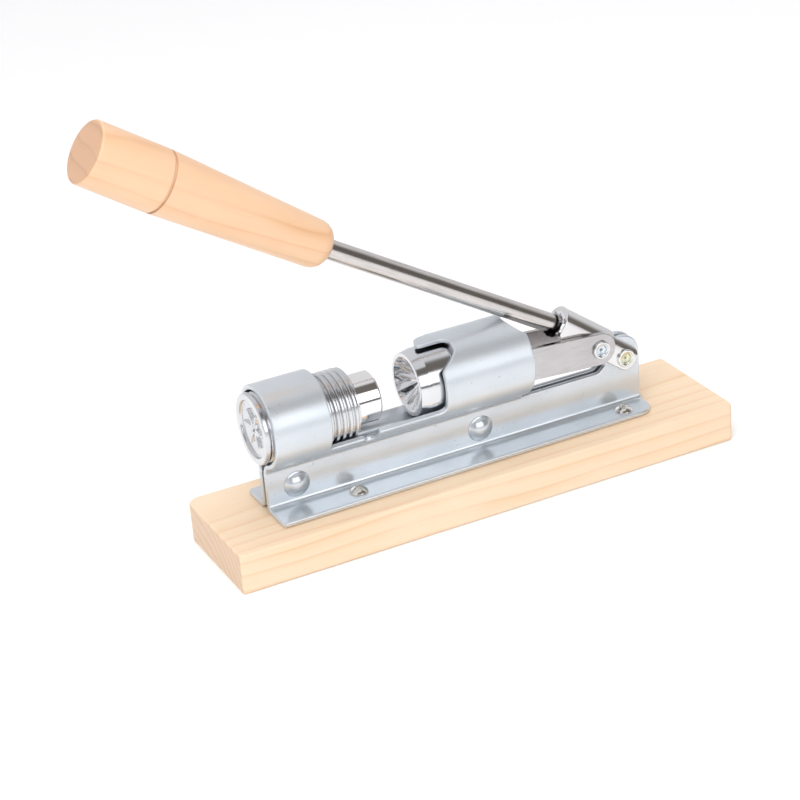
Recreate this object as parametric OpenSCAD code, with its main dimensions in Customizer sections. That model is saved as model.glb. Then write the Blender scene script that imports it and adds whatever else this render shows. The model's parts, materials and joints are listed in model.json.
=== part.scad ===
// Bench lever nutcracker: a folded steel rail on a pine board carries a screw anvil
// and a plunger that a hand lever drives through two link bars.
// Origin: centre of the board's underside. +X runs towards the lever's pivot, +Z is up,
// and -Y is the side with the tall trough wall.

/* [Board] */
// Length of the pine board
board_l = 250; // [235:1:320]
// Width of the board
board_w = 61; // [50:1:90]
// Thickness of the board
board_t = 18.5; // [17:0.5:30]

/* [Rail] */
// Thickness of the folded sheet
sheet = 2.5; // [2:0.1:2.8]
// Clear gap between the two upright webs
web_gap = 2.6; // [2:0.1:3]
// Width across both flanges at the anvil end
rail_w = 39; // [38:0.5:46]
// Width across both flanges at the pivot end
rail_w_rear = 35; // [34:0.5:46]
// Height of the sleeve axis above the board
axis_h = 41; // [40:0.5:44]
// Outer radius of the two sleeves
sleeve_r = 19.2; // [18.8:0.1:19.6]
// Height of the open web behind the sleeves, above the board
web_h = 20.7; // [19:0.1:21]

/* [Anvil screw] */
// Crest radius of the anvil thread
thread_r = 16.2; // [15.6:0.1:16.3]
// Pitch of the anvil thread
thread_pitch = 3; // [2.5:0.5:4]
// Radius of the smooth nose
nose_r = 11.5; // [10:0.1:12.5]
// Length of the nose in front of the thread
nose_l = 12.3; // [9:0.1:14]

/* [Plunger] */
// Radius of the plunger
plunger_r = 15.5; // [15:0.1:16]
// Depth of the fluted cup
cup_depth = 7; // [5:0.5:9]
// Number of flutes in the cup
flutes = 10; // [6:1:14]

/* [Lever] */
// Slope of the rod at rest, in degrees
rod_angle = 30.9; // [30.5:0.1:34]
// Slope of the yoke channel at rest, in degrees
yoke_angle = 37; // [36:0.5:38]
// Radius of the rod
rod_r = 4.5; // [4.3:0.1:4.5]
// Distance from the lever pivot to the link pivot
crank = 17; // [16.5:0.1:17.5]
// Length of the wooden handle
handle_l = 119; // [90:1:140]
// Largest radius of the handle
handle_r = 13.9; // [12.5:0.1:15.5]
// Tilt of the handle above the rod's line, in degrees
handle_tilt = 3; // [0:0.5:4]

/* [Hidden] */
$fn = 96;
eps = 0.01;
far_out = 400;

// Rail: one sheet folded into flanges, two webs and two sleeves
rail_x0 = -99;
rail_x1 = 91.5;
axis_z = board_t + axis_h;
bore_r = sleeve_r - sheet;
web_in = web_gap / 2;
web_out = web_in + sheet;
flange_top = board_t + sheet;
bend_r = 2.5;
neck_r = 4;
neck_y = web_out + neck_r;
neck_z = axis_z - sqrt(pow(sleeve_r + neck_r, 2) - neck_y * neck_y);
neck_a = asin(neck_y / (sleeve_r + neck_r));
web_top = board_t + web_h;
flange_corner = 8;
sleeve1_x0 = -98.5;
sleeve1_x1 = -71.5;
sleeve2_x0 = -16;
sleeve2_x1 = 28.5;
tongue_tip = -23;
tongue_round_x = -12;
tongue_round_y = -4.5;
near_rim = axis_z - sleeve_r / 2;
low_rim = axis_z - 12.1;
far_rim = axis_z - 15;
notch_x = -51.4;
notch_r = 2.9;
scoop_x = 22.3;
scoop_r = 14;

// Pivots
pivot_x = 81.9;
pivot_z = board_t + 26.5;
upright_x0 = 70;
upright_r = rail_x1 - pivot_x;
crank_angle = 32.5;
link_x = pivot_x - crank * cos(crank_angle);
link_z = pivot_z + crank * sin(crank_angle);
pin_x = 4;
pin_z = axis_z - 1.2;
link_l = norm([link_x - pin_x, pin_z - link_z]);
link_slope = asin((pin_z - link_z) / link_l);

// Yoke channel
yoke_in = 4.6;
yoke_out = 7.2;
yoke_roof = 0.9;
yoke_low = -5.6;
yoke_back = 6.3;
yoke_front = -39.5;
yoke_notch = -10;
rod_rise = 3.2;
rod_end = -22;
rod_in_handle = 62;
handle_x = -166;
groove_x = 84.5;

// Link bars
link_in = 7.5;
link_t = 2.4;
link_out = link_in + link_t;
link_h = 15.5;
pin_r = 2.5;
pin_clear_r = 5.2;

// Rivets
rivet_r = 3;
rivet_bore = 1.8;
rivet_head_r = 4.3;
rivet_head_t = 1.3;
run_fit = 0.1;
side_gap = 0.15;
washer_r = 6;
spacer_r = 5.5;
dome_r = 5.8;
dome_h = 3;
rail_rivet_r = 2.5;
rail_rivet_x = [-84.7, 6.7];
rail_rivet_z = board_t + 11;

// Wood screws
screw_x = [-59, 77.5];
screw_y = 11.2;
screw_head_r = 4.4;
screw_head_t = 2.6;
screw_r = 2;
screw_l = 14;

// Anvil and plunger
screw_face_x = -101.7;
nose_x1 = -43.7;
nose_x0 = nose_x1 - nose_l;
spigot_r = 6;
spigot_l = 16;
thread_depth = 1.2;
plunger_x0 = -26.4;
tongue_x0 = -5.3;
tongue_x1 = 13;
bush_x0 = -6.8;
bush_x1 = 8;

// A cylinder along X, from x0 to x1, about the sleeve axis
module bar_x(r, x0, x1) {
    translate([x0, 0, axis_z]) rotate([0, 90, 0]) cylinder(r = r, h = x1 - x0);
}

// A cylinder along Y, from y0 to y1, at x and z
module bar_y(r, y0, y1, x = 0, z = 0) {
    translate([x, y0, z]) rotate([-90, 0, 0]) cylinder(r = r, h = y1 - y0);
}

// A box given by two opposite corners
module block(a, b) {
    translate(a) cube(b - a);
}

// Children on both sides of the middle plane
module both_sides() {
    children();
    mirror([0, 1, 0]) children();
}

// A tube along X about the sleeve axis
module tube_x(r_out, r_in, x0, x1) {
    difference() {
        bar_x(r_out, x0, x1);
        bar_x(r_in, x0 - 1, x1 + 1);
    }
}

// Plan outline of the board: sanded corners of unlike radii
module board_plan() {
    corners = [[-1, -1, 1], [1, -1, 2.5], [1, 1, 1.5], [-1, 1, 6]];
    difference() {
        square([board_l, board_w], center = true);
        for (c = corners)
            translate([c[0] * board_l / 2, c[1] * board_w / 2]) difference() {
                square(2 * c[2], center = true);
                translate([-c[0] * c[2], -c[1] * c[2]]) circle(r = c[2]);
            }
    }
}

// Side outline of the board: both ends' top and bottom edges are eased
module board_side() {
    top_ease = 1.2;
    low_ease = 0.8;
    difference() {
        translate([-board_l / 2, 0]) square([board_l, board_t]);
        for (s = [-1, 1], e = [[board_t, top_ease, -1], [0, low_ease, 1]])
            translate([s * board_l / 2, e[0]]) difference() {
                square(2 * e[1], center = true);
                translate([-s * e[1], e[2] * e[1]]) circle(r = e[1]);
            }
    }
}

module pine_board() {
    color("BurlyWood") difference() {
        intersection() {
            linear_extrude(board_t) board_plan();
            translate([0, board_w, 0]) rotate([90, 0, 0]) linear_extrude(2 * board_w) board_side();
        }
        for (x = screw_x, s = [-1, 1])
            translate([x, s * screw_y, board_t - screw_l]) cylinder(r = screw_r, h = screw_l + 1);
    }
}

// One pan-head screw with a cross recess, its head on the flange
module wood_screw() {
    recess_w = 1.1;
    recess_l = 4.6;
    recess_d = 1.6;
    recess_turn = 20;
    tip_r = 0.4;
    shank = screw_l - 1;
    ball_r = (screw_head_r * screw_head_r + screw_head_t * screw_head_t) / (2 * screw_head_t);
    difference() {
        union() {
            intersection() {
                cylinder(r = screw_head_r, h = screw_head_t);
                translate([0, 0, screw_head_t - ball_r]) sphere(r = ball_r);
            }
            translate([0, 0, -shank]) cylinder(r = screw_r, h = shank + eps);
            translate([0, 0, -shank - sheet]) cylinder(r1 = tip_r, r2 = screw_r, h = sheet + eps);
        }
        for (a = [0, 90])
            rotate([0, 0, a + recess_turn]) translate([-recess_l / 2, -recess_w / 2, screw_head_t - recess_d])
                cube([recess_l, recess_w, recess_d + 1]);
    }
}

module wood_screws() {
    color("Silver") for (x = screw_x, s = [-1, 1])
        translate([x, s * screw_y, flange_top]) wood_screw();
}

// Rail section below the sleeves, one side: flange, bend and web up to a height
module flange_and_web(x0, x1, top) {
    block([x0, -rail_w / 2, board_t], [x1, -web_out - bend_r, flange_top]);
    difference() {
        bend_bar(x0, x1, bend_r + sheet);
        bend_bar(x0 - 1, x1 + 1, bend_r);
        block([x0 - 1, -far_out, board_t - 1], [x1 + 1, -web_out - bend_r, axis_z]);
        block([x0 - 1, -far_out, flange_top + bend_r], [x1 + 1, far_out, axis_z]);
    }
    block([x0, -web_out, flange_top + bend_r], [x1, -web_in, top]);
}

// Round bar along X at the flange bend's centre
module bend_bar(x0, x1, r) {
    translate([x0, -web_out - bend_r, flange_top + bend_r]) rotate([0, 90, 0])
        cylinder(r = r, h = x1 - x0);
}

// Neck where a web sweeps out into a sleeve, one side
module neck(x0, x1) {
    difference() {
        translate([x0, -neck_y, neck_z]) rotate([0, 90, 0]) cylinder(r = neck_r + sheet, h = x1 - x0);
        translate([x0 - 1, -neck_y, neck_z]) rotate([0, 90, 0]) cylinder(r = neck_r, h = x1 - x0 + 2);
        block([x0 - 1, -far_out, 0], [x1 + 1, far_out, neck_z]);
        translate([x0 - 1, -neck_y, neck_z]) rotate([-neck_a, 0, 0])
            translate([0, -far_out, -far_out]) cube([x1 - x0 + 2, far_out, 2 * far_out]);
    }
}

// Sleeve wall between the two necks: a ring about the axis, open at the bottom
module open_ring(x0, x1) {
    gap_h = 2 * sleeve_r;
    gap_w = gap_h * tan(neck_a);
    difference() {
        tube_x(sleeve_r, bore_r, x0, x1);
        translate([x0 - 1, 0, axis_z]) rotate([90, 0, 90]) linear_extrude(x1 - x0 + 2)
            polygon([[0, 0], [-gap_w, -gap_h], [gap_w, -gap_h]]);
    }
}

// Trough: near wall up to near_rim, or low_rim beside the anvil sleeve, and far wall up to far_rim
module trough() {
    difference() {
        open_ring(sleeve1_x1 - eps, sleeve2_x0 + eps);
        block([-far_out, -far_out, near_rim], [far_out, 0, far_out]);
        block([-far_out, -far_out, low_rim], [notch_x, 0, far_out]);
        block([-far_out, 0, far_rim], [far_out, far_out, far_out]);
        bar_y(notch_r, -far_out, 0, notch_x, near_rim - notch_r);
        block([notch_x - notch_r, -far_out, near_rim - notch_r], [notch_x + notch_r, 0, axis_z]);
    }
}

// Plan outline that the plunger sleeve's wall is cut to
module plunger_sleeve_plan() {
    bite_y0 = -15.4;
    bite_y1 = -3.1;
    bite_r = 3.5;
    bite_x = -7.1;
    slant_x = -10.6;
    slant_y = -13;
    tongue_y = 6.5;
    tongue_l = tongue_round_x - tongue_tip + 1;
    difference() {
        translate([tongue_tip, -sleeve_r - 1]) square([sleeve2_x1 - tongue_tip, 2 * sleeve_r + 2]);
        translate([tongue_tip - 1, -far_out]) square([sleeve2_x0 - tongue_tip + 1, far_out + bite_y0]);
        polygon([
            [tongue_tip - 1, bite_y0], [sleeve2_x0, bite_y0], [slant_x, slant_y],
            [bite_x, bite_y1 - 2 * bite_r], [bite_x, bite_y1 - bite_r], [bite_x - bite_r, bite_y1],
            [tongue_tip - 1, bite_y1]]);
        translate([bite_x - bite_r, bite_y1 - bite_r]) circle(r = bite_r);
        translate([tongue_tip - 1, tongue_y]) square([tongue_l, far_out]);
        difference() {
            translate([tongue_tip - 1, bite_y1]) square([tongue_l, tongue_y - bite_y1 + eps]);
            translate([tongue_round_x, tongue_round_y]) circle(r = tongue_round_x - tongue_tip);
        }
        translate([scoop_x + scoop_r, 0]) circle(r = scoop_r);
    }
}

// Sleeve round the plunger: above the axis its ends follow the plan outline
module plunger_sleeve() {
    bite_z = axis_z + 6;
    corner = 3;
    difference() {
        open_ring(tongue_tip, sleeve2_x1);
        block([-far_out, -far_out, 0], [sleeve2_x0, far_out, bite_z]);
        difference() {
            block([tongue_tip - 1, -sleeve_r - 1, bite_z], [sleeve2_x1 + 1, sleeve_r + 1, far_out]);
            translate([0, 0, bite_z - 1]) linear_extrude(far_out) plunger_sleeve_plan();
        }
    }
    intersection() {
        tube_x(sleeve_r, bore_r, sleeve2_x0 - corner, sleeve2_x0 + eps);
        difference() {
            block([sleeve2_x0 - corner, -sleeve_r, near_rim - eps], [sleeve2_x0 + eps, 0, near_rim + corner]);
            bar_y(corner, -far_out, 0, sleeve2_x0 - corner, near_rim + corner);
        }
    }
}

// Rear upright of one web, with its round top about the lever pivot
module upright() {
    ramp = 6;
    bar_y(upright_r, -web_out, -web_in, pivot_x, pivot_z);
    block([pivot_x, -web_out, flange_top + bend_r], [rail_x1, -web_in, pivot_z]);
    translate([0, -web_in, 0]) rotate([90, 0, 0]) linear_extrude(sheet) polygon([
        [upright_x0, web_top - 1], [upright_x0, web_top], [upright_x0 + ramp, web_top + ramp],
        [pivot_x, pivot_z], [pivot_x, web_top - 1]]);
}

// Holes for the rivets and screws
module rail_holes() {
    bar_y(rivet_r + run_fit, -far_out, far_out, pivot_x, pivot_z);
    for (x = rail_rivet_x) bar_y(rail_rivet_r, -far_out, far_out, x, rail_rivet_z);
    for (x = screw_x, s = [-1, 1])
        translate([x, s * screw_y, 0]) cylinder(r = screw_r + run_fit, h = axis_z / 2);
}

// Plan outline of the flanges: they narrow towards the pivot end, where their corners are round
module flange_plan() {
    cut = 2;
    y0 = rail_w / 2;
    y1 = rail_w_rear / 2;
    end_x = rail_x1 - flange_corner;
    polygon([[rail_x0 + cut, -y0], [end_x, -y1], [end_x, y1], [rail_x0 + cut, y0],
        [rail_x0, y0 - cut], [rail_x0, cut - y0]]);
    translate([end_x - eps, flange_corner - y1]) square([flange_corner + eps, 2 * (y1 - flange_corner)]);
    for (s = [-1, 1]) translate([end_x, s * (y1 - flange_corner)]) circle(r = flange_corner);
}

module frame_rail() {
    color("LightSteelBlue") difference() {
        intersection() {
            union() {
                both_sides() {
                    flange_and_web(rail_x0, sleeve2_x1, neck_z);
                    flange_and_web(sleeve2_x1 - eps, rail_x1, web_top);
                    neck(sleeve1_x0, sleeve2_x1);
                    upright();
                }
                open_ring(sleeve1_x0, sleeve1_x1);
                trough();
                plunger_sleeve();
            }
            linear_extrude(far_out) flange_plan();
        }
        rail_holes();
    }
}

// A dome on one side of the rail
module dome() {
    ball_r = (dome_r * dome_r + dome_h * dome_h) / (2 * dome_h);
    intersection() {
        bar_y(dome_r, -web_out - dome_h, -web_out);
        translate([0, -web_out - dome_h + ball_r, 0]) sphere(r = ball_r);
    }
}

module rail_rivets() {
    color("LightSteelBlue") for (x = rail_rivet_x) translate([x, 0, rail_rivet_z]) {
        bar_y(rail_rivet_r, -web_out - eps, web_out + eps);
        both_sides() dome();
    }
}

// A flat ring on a Y axis
module ring_y(r_out, r_in, y0, y1, x, z) {
    difference() {
        bar_y(r_out, y0, y1, x, z);
        bar_y(r_in, y0 - 1, y1 + 1, x, z);
    }
}

module rail_spacers() {
    color("Silver") for (x = rail_rivet_x) ring_y(spacer_r, rail_rivet_r, -web_in, web_in, x, rail_rivet_z);
}

module pivot_spacer() {
    color("Silver") ring_y(washer_r, rivet_r + run_fit, -web_in, web_in, pivot_x, pivot_z);
}

module pivot_washers() {
    color("Silver") both_sides()
        ring_y(washer_r, rivet_r + run_fit, web_out, yoke_in - side_gap, pivot_x, pivot_z);
}

module guide_bush() {
    color("DarkGray") tube_x(bore_r, plunger_r + run_fit, bush_x0, bush_x1);
}

// Cone-shaped cup that opens towards -X at the origin, with round flutes from its rim inwards
module fluted_cup(rim_r, depth, count) {
    tip_r = 1.6;
    flute_r = rim_r * 0.13;
    slope = atan((rim_r - tip_r) / depth);
    rotate([0, 90, 0]) {
        translate([0, 0, -eps]) cylinder(r1 = rim_r, r2 = tip_r, h = depth);
        for (i = [0:count - 1]) rotate([0, 0, i * 360 / count]) translate([rim_r, 0, 0])
            rotate([0, -slope, 0]) translate([0, 0, -rim_r / 4]) cylinder(r = flute_r, h = rim_r * 0.8);
    }
}

module anvil_nose() {
    chamfer = 0.8;
    rim = 2.2;
    nose_flutes = 8;
    color("Gainsboro") difference() {
        union() {
            bar_x(nose_r, nose_x0, nose_x1 - chamfer);
            translate([nose_x1 - chamfer, 0, axis_z]) rotate([0, 90, 0])
                cylinder(r1 = nose_r, r2 = nose_r - chamfer, h = chamfer);
            bar_x(spigot_r, nose_x0 - spigot_l, nose_x0 + eps);
        }
        translate([nose_x1, 0, axis_z]) mirror([1, 0, 0])
            fluted_cup(nose_r - rim, cup_depth - 1, nose_flutes);
    }
}

module anvil_screw() {
    dish_r = 13.2;
    dish_d = 1.3;
    rib_h = 1;
    rib_w = 1.6;
    rib_r = 10;
    rib_count = 6;
    boss_w = 5.2;
    key_w = 2.8;
    key_d = 8;
    turns = floor((nose_x0 - screw_face_x - 2) / thread_pitch);
    profile = concat(
        [[spigot_r + run_fit, nose_x0], [spigot_r + run_fit, nose_x0 - spigot_l - 1],
         [0, nose_x0 - spigot_l - 1], [0, screw_face_x], [thread_r - 1, screw_face_x],
         [thread_r, screw_face_x + 1]],
        [for (i = [0:turns - 1], k = [0:3]) let (x = nose_x0 - (turns - i) * thread_pitch)
            [k == 0 || k == 3 ? thread_r : thread_r - thread_depth, x + thread_pitch * (k * 0.3 - 0.1)]],
        [[thread_r - 0.6, nose_x0]]);
    color("Silver") difference() {
        translate([0, 0, axis_z]) rotate([0, 90, 0]) rotate_extrude() polygon(profile);
        translate([screw_face_x, 0, axis_z]) difference() {
            translate([-1, 0, 0]) rotate([0, 90, 0]) cylinder(r = dish_r, h = dish_d + 1);
            translate([dish_d - rib_h, 0, 0]) {
                translate([0, -boss_w / 2, -boss_w / 2]) cube([far_out, boss_w, boss_w]);
                for (i = [0:rib_count - 1]) rotate([i * 360 / rib_count, 0, 0])
                    translate([0, 0, -rib_w / 2]) cube([far_out, rib_r, rib_w]);
            }
        }
        translate([screw_face_x, -key_w / 2, axis_z - key_w / 2]) cube([key_d, key_w, key_w]);
    }
}

module plunger() {
    face_r = plunger_r - 1;
    taper = 5;
    rim = 2.3;
    cheek = link_in - side_gap;
    color("Gainsboro") difference() {
        union() {
            translate([plunger_x0, 0, axis_z]) rotate([0, 90, 0])
                cylinder(r1 = face_r, r2 = plunger_r, h = taper);
            bar_x(plunger_r, plunger_x0 + taper, tongue_x1);
        }
        both_sides() block([tongue_x0, cheek, 0], [tongue_x1 + 1, far_out, far_out]);
        translate([plunger_x0, 0, axis_z]) fluted_cup(face_r - rim, cup_depth, flutes);
        bar_y(pin_r, -far_out, far_out, pin_x, pin_z);
    }
}

module plunger_pin() {
    pin_end = link_out + 0.7;
    color("Silver") bar_y(pin_r, -pin_end, pin_end, pin_x, pin_z);
}

// One link bar, on the +Y side of the middle plane, in its place at rest
module link_bar() {
    translate([link_x, 0, link_z]) rotate([0, link_slope, 0]) difference() {
        union() {
            for (x = [-link_l, 0]) bar_y(link_h / 2, link_in, link_out, x);
            block([-link_l, link_in, -link_h / 2], [0, link_out, link_h / 2]);
        }
        bar_y(rivet_r + run_fit, 0, far_out);
        bar_y(pin_clear_r, 0, far_out, -link_l);
    }
}

module link_near() {
    color("RosyBrown") mirror([0, 1, 0]) link_bar();
}

module link_far() {
    color("RosyBrown") link_bar();
}

// Children turned about the lever pivot, so that -X runs up the lever
module on_lever(angle) {
    translate([pivot_x, 0, pivot_z]) rotate([0, angle, 0]) children();
}

// Channel section along X: straight legs under a half-round roof
module channel(r, x0, x1, low) {
    translate([x0, 0, yoke_roof]) rotate([0, 90, 0]) cylinder(r = r, h = x1 - x0);
    block([x0, -r, low], [x1, r, yoke_roof]);
}

// Side outline of the yoke, with round lower corners and a round back
module yoke_outline() {
    back_r = 5;
    front_r = 3;
    top = yoke_roof + yoke_out;
    difference() {
        translate([yoke_front, yoke_low]) square([yoke_back - yoke_front, top - yoke_low]);
        for (c = [[yoke_back, yoke_low, back_r, -1, 1], [yoke_back, top, back_r, -1, -1],
                  [yoke_front, yoke_low, front_r, 1, 1], [yoke_front, top, 2, 1, -1]])
            translate([c[0], c[1]]) difference() {
                square(2 * c[2], center = true);
                translate([c[3] * c[2], c[4] * c[2]]) circle(r = c[2]);
            }
    }
}

module lever_yoke() {
    color("Gainsboro") on_lever(yoke_angle) difference() {
        intersection() {
            channel(yoke_out, yoke_front, yoke_back, yoke_low);
            translate([0, far_out / 2, 0]) rotate([90, 0, 0]) linear_extrude(far_out) yoke_outline();
        }
        channel(yoke_in, yoke_front - 1, yoke_back + 1, yoke_low - 1);
        block([yoke_notch, -yoke_in, 0], [yoke_back + 1, yoke_in, far_out]);
        bar_y(rivet_r, -far_out, far_out);
        rotate([0, crank_angle - yoke_angle, 0]) bar_y(rivet_r, -far_out, far_out, -crank);
    }
}

// Bead that joins the rod to the yoke's front edge
module yoke_weld() {
    bead_r = 1.7;
    bead_ring = 5.7;
    bead_z = -0.3;
    color("Gainsboro") difference() {
        on_lever(yoke_angle) translate([yoke_front - 0.2, 0, bead_z]) rotate([0, 90, 0])
            rotate_extrude() translate([bead_ring, 0]) circle(r = bead_r);
        rod_bar();
    }
}

// Hollow rivet on a Y axis with a flat head at each side
module hollow_rivet(half, x, z) {
    difference() {
        union() {
            bar_y(rivet_r, -half, half, x, z);
            both_sides() bar_y(rivet_head_r, half - eps, half + rivet_head_t, x, z);
        }
        bar_y(rivet_bore, -far_out, far_out, x, z);
    }
}

module pivot_rivet() {
    color("DarkKhaki") hollow_rivet(yoke_out, pivot_x, pivot_z);
}

module link_rivet() {
    color("LightSteelBlue") hollow_rivet(link_out + side_gap, link_x, link_z);
}

// The rod's solid bar, from inside the handle to inside the yoke
module rod_bar() {
    rod_x0 = handle_x - rod_in_handle;
    on_lever(rod_angle) translate([rod_x0, 0, rod_rise]) rotate([0, 90, 0])
        cylinder(r = rod_r, h = rod_end - rod_x0);
}

module lever_rod() {
    color("Gray") rod_bar();
}

// Turned handle: half section from the front end (x = 0) to the butt
module handle_section() {
    nose = 7;
    front_r = 10.6;
    butt_r = 13.7;
    butt_ease = 1.1;
    ring = 0.6;
    difference() {
        union() {
            polygon([[0, 0], [front_r, nose], [handle_r, groove_x], [butt_r, handle_l - butt_ease],
                [butt_r - butt_ease, handle_l], [0, handle_l]]);
            intersection() {
                translate([front_r - nose, nose]) circle(r = nose);
                square([front_r, nose]);
            }
            square([front_r - nose, nose]);
            translate([butt_r - butt_ease, handle_l - butt_ease]) circle(r = butt_ease);
        }
        translate([handle_r, groove_x]) circle(r = ring);
        translate([-far_out, 0]) square([far_out, far_out]);
    }
}

module handle() {
    color("NavajoWhite") on_lever(rod_angle) translate([handle_x, 0, rod_rise]) difference() {
        rotate([0, handle_tilt, 0]) rotate([0, -90, 0]) rotate_extrude() handle_section();
        translate([-rod_in_handle, 0, 0]) rotate([0, 90, 0]) cylinder(r = rod_r, h = far_out);
    }
}

pine_board();
wood_screws();
frame_rail();
rail_rivets();
rail_spacers();
pivot_spacer();
pivot_washers();
guide_bush();
anvil_nose();
anvil_screw();
plunger();
plunger_pin();
link_near();
link_far();
lever_yoke();
yoke_weld();
pivot_rivet();
link_rivet();
lever_rod();
handle();
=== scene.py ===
import json
import math

import bmesh
import bpy
import numpy as np
from mathutils import Matrix, Vector, noise
from mathutils.geometry import delaunay_2d_cdt


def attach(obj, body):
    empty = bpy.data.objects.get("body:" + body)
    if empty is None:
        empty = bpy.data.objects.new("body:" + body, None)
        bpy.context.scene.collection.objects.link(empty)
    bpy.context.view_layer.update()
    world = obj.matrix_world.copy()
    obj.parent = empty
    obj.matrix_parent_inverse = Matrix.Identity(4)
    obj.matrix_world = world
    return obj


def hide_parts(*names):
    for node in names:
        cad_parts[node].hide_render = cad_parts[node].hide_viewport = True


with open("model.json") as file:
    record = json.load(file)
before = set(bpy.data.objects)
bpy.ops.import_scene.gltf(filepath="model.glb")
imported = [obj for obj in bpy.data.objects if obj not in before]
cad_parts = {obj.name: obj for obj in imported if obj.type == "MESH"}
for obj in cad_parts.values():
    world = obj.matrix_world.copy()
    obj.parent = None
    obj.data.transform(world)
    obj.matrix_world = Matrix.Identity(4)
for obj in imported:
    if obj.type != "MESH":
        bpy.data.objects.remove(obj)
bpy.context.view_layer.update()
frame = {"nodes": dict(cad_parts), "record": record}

MM = 0.001
TAU = 2 * math.pi

# ---------------------------------------------------------------- sizes, in millimetres and degrees
BOARD_L, BOARD_W, BOARD_T = 250.0, 61.0, 18.5
SHEET, WEB_IN = 2.5, 1.3
AXIS_Z, SLEEVE_R = 59.5, 19.2
NECK_R, BEND_R = 4.0, 2.5
PIVOT = (81.9, 45.0)
LINK_PIN = (67.5625, 54.134)
PLUNGER_PIN = (4.0, 58.3)
PIN_HOLE_R, RIVET_HOLE_R, SCREW_HOLE_R = 3.1, 2.5, 2.1
RIVET_X, RIVET_Z = (-84.7, 6.7), 29.5
SCREW_X, SCREW_Y = (-59.0, 77.5), 11.2
YOKE_TURN, ROD_TURN, LINK_TURN, HANDLE_TILT = 37, 30.9, 3.74, 3


# ---------------------------------------------------------------- mesh helpers
def add_object(name, data):
    obj = bpy.data.objects.new(name, data)
    bpy.context.scene.collection.objects.link(obj)
    return obj


def new_object(name, verts, faces, normals=None):
    """A smooth-shaded object from millimetre vertices."""
    verts = [tuple(float(c) * MM for c in v) for v in verts]
    faces = [tuple(int(i) for i in f) for f in faces]
    mesh = bpy.data.meshes.new(name)
    mesh.from_pydata(verts, [], faces)
    mesh.update()
    mesh.shade_smooth()
    if normals is not None:
        mesh.normals_split_custom_set_from_vertices([tuple(float(c) for c in n) for n in normals])
    return add_object(name, mesh)


def clean(obj, merge=0.002):
    """Merges coincident vertices, drops collapsed faces and turns all faces outwards."""
    bm = bmesh.new()
    bm.from_mesh(obj.data)
    bmesh.ops.remove_doubles(bm, verts=bm.verts, dist=merge * MM)
    bmesh.ops.dissolve_degenerate(bm, edges=bm.edges, dist=merge * MM / 4)
    bmesh.ops.recalc_face_normals(bm, faces=bm.faces)
    bm.to_mesh(obj.data)
    bm.free()
    return obj


def flat_wins(obj, weight=50):
    """Large flat faces keep their own normal beside small rounded edges."""
    m = obj.modifiers.new("normals", "WEIGHTED_NORMAL")
    m.mode = "FACE_AREA"
    m.weight = weight
    m.keep_sharp = True
    return obj


def join(name, objects):
    """One object from several that have the same material."""
    bm = bmesh.new()
    for o in objects:
        o.data.transform(o.matrix_world)
        bm.from_mesh(o.data)
        bpy.data.objects.remove(o)
    mesh = bpy.data.meshes.new(name)
    bm.to_mesh(mesh)
    bm.free()
    return add_object(name, mesh)


def quads(rings, n, closed=True, around=True):
    """Faces between neighbouring rings of n vertices; closed joins the ends of each ring, and around the last
    ring to the first."""
    faces = []
    for k in range(rings if around else rings - 1):
        a, b = k * n, (k + 1) % rings * n
        for i in range(n if closed else n - 1):
            j = (i + 1) % n
            faces.append((a + i, a + j, b + j, b + i))
    return faces


def filleted(corners, closed=True, step=12):
    """Points of an outline with rounded corners (x, y, radius); a corner without a radius stays sharp."""
    out = []
    n = len(corners)
    for i, c in enumerate(corners):
        p = np.array(c[:2], float)
        r = c[2] if len(c) > 2 else 0
        if r <= 0 or (not closed and i in (0, n - 1)):
            out.append(p)
            continue
        a = np.array(corners[(i - 1) % n][:2], float) - p
        b = np.array(corners[(i + 1) % n][:2], float) - p
        la, lb = np.linalg.norm(a), np.linalg.norm(b)
        a, b = a / la, b / lb
        angle = math.acos(max(-1, min(1, float(a @ b))))
        if angle > math.pi - 0.02:
            out.append(p)
            continue
        reach = min(r / math.tan(angle / 2), 0.499 * la, 0.499 * lb)
        r = reach * math.tan(angle / 2)
        centre = p + (a + b) / np.linalg.norm(a + b) * r / math.sin(angle / 2)
        start, end = p + a * reach - centre, p + b * reach - centre
        turn = math.pi - angle
        sign = 1 if start[0] * end[1] - start[1] * end[0] > 0 else -1
        count = max(2, math.ceil(math.degrees(turn) / step))
        for k in range(count + 1):
            t = sign * turn * k / count
            out.append(centre + [start[0] * math.cos(t) - start[1] * math.sin(t),
                                 start[0] * math.sin(t) + start[1] * math.cos(t)])
    return out


def arc(cx, cy, r, a0, a1, step=8):
    """Points on an arc, angles in degrees."""
    count = max(2, math.ceil(abs(a1 - a0) / step))
    angles = [math.radians(a0 + (a1 - a0) * k / count) for k in range(count + 1)]
    return [np.array([cx + r * math.cos(a), cy + r * math.sin(a)]) for a in angles]


def spaced(points, dx, dy, closed=True):
    """The outline with every segment cut so that no step is longer than dx across or dy up."""
    out = []
    n = len(points)
    for i in range(n if closed else n - 1):
        p, q = np.array(points[i], float), np.array(points[(i + 1) % n], float)
        d = q - p
        if np.linalg.norm(d) < 1e-4:
            continue
        count = max(1, math.ceil(max(abs(d[0]) / dx, abs(d[1]) / dy) - 1e-6))
        out += [p + d * k / count for k in range(count)]
    if not closed:
        out.append(np.array(points[-1], float))
    return np.array(out)


def outward(loop):
    """Unit normals of a closed loop, away from the material, which lies on its left."""
    t = np.roll(loop, -1, 0) - np.roll(loop, 1, 0)
    t /= np.linalg.norm(t, axis=1)[:, None]
    return np.stack([t[:, 1], -t[:, 0]], 1)


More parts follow.
